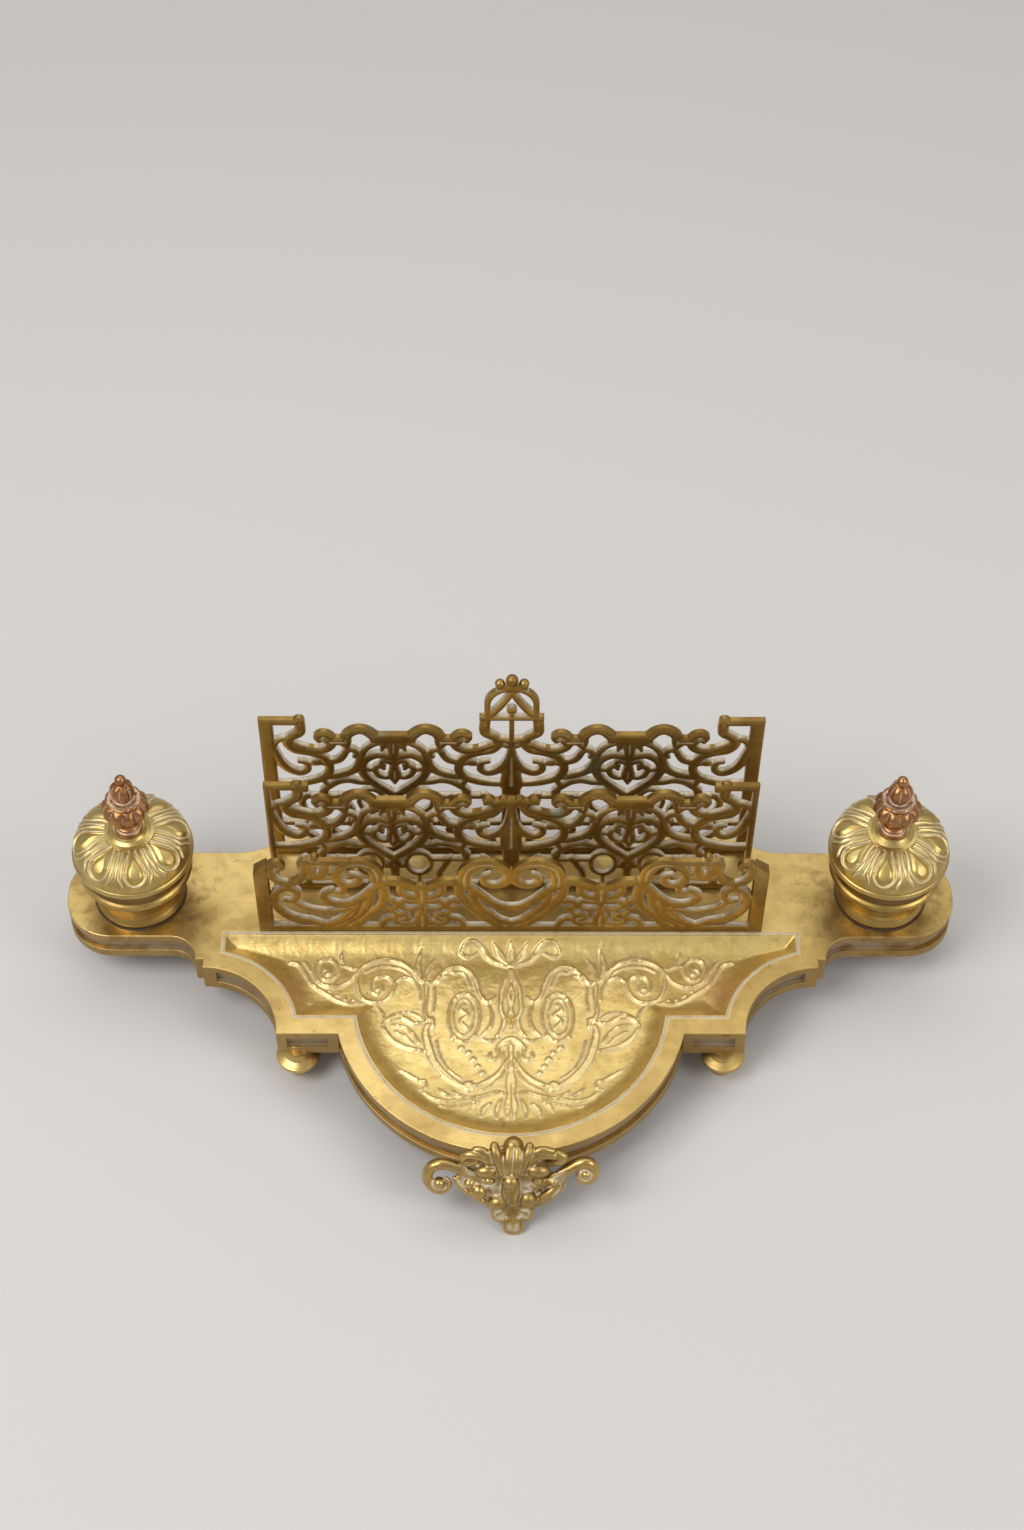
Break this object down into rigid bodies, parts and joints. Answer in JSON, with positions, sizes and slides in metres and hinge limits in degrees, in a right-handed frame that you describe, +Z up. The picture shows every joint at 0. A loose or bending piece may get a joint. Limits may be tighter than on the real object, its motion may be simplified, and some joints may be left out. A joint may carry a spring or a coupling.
{
  "type": "desk inkstand",
  "caption": "Cast and pierced brass desk inkstand: pen tray in a moulded base, letter rack with scrollwork panels, domed inkwells with hinged lids and copper finials.",
  "frame": {"origin": "the middle of the bounding box in plan, at the table plane under the feet", "axes": "+X to the right of someone sitting in front of the stand, +Y towards its back, +Z up"},
  "size_m": [0.42, 0.1952, 0.1662],
  "materials": {
    "aged_brass": "cast and hand-finished, darkened with age, bright on the high edges",
    "pale_brass": "worn and rubbed, with pale bloom in the recesses",
    "copper": "polished copper with a warm brown tarnish",
    "glass": "clear moulded glass",
    "leather": "thin dark washer",
    "steel": "plain turned steel"
  },
  "bodies": {
    "stand": {"base_tray": "pale_brass", "front_gallery": "aged_brass", "middle_panel": "aged_brass", "back_panel": "aged_brass", "front_mask": "aged_brass", "mask_screws": "steel", "foot_front_left": "aged_brass", "foot_front_right": "aged_brass", "foot_rear_left": "aged_brass", "foot_rear_right": "aged_brass", "rack_nuts": "steel", "well_washer_left": "leather", "well_washer_right": "leather", "well_body_left": "aged_brass", "well_body_right": "aged_brass", "ink_pot_left": "glass", "ink_pot_right": "glass", "well_nut_left": "steel", "well_nut_right": "steel", "hinge_pin_left": "steel", "hinge_pin_right": "steel"},
    "lid_left_body": {"lid_left": "aged_brass", "lid_collar_left": "pale_brass", "finial_left": "copper", "finial_nut_left": "steel"},
    "lid_right_body": {"lid_right": "aged_brass", "lid_collar_right": "pale_brass", "finial_right": "copper", "finial_nut_right": "steel"}
  },
  "joints": [
    {"name": "lid_left_hinge", "type": "hinge", "parent": "stand", "child": "lid_left_body", "pos_m": [-0.1756, 0.0952, 0.069], "axis": [-1, 0, 0], "range_deg": [0, 105]},
    {"name": "lid_right_hinge", "type": "hinge", "parent": "stand", "child": "lid_right_body", "pos_m": [0.1756, 0.0952, 0.069], "axis": [-1, 0, 0], "range_deg": [0, 105]}
  ]
}
